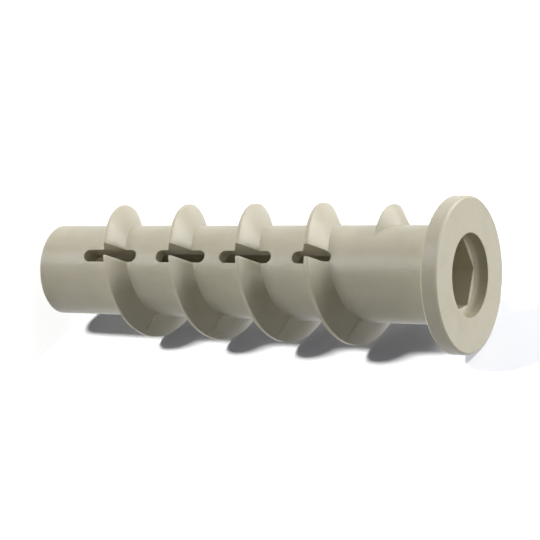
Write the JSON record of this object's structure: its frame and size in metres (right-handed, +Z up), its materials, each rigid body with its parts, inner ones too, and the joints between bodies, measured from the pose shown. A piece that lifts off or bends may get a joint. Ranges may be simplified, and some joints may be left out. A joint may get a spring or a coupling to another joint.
{
  "type": "aerated concrete plug",
  "caption": "Screw-in nylon plug for aerated concrete: flange head, hexagonal driving socket, coarse outer flight and slotted wall.",
  "frame": {"origin": "centre of the round mouth in the head's front face", "axes": "+Z up the plug's axis, out of the wall; -Y through the row of slots that the picture shows"},
  "size_m": [0.019, 0.019, 0.0577],
  "materials": {
    "nylon": "moulded grey-beige nylon with a fine satin sheen"
  },
  "bodies": {
    "root": {"plug_body": "nylon"}
  },
  "joints": []
}
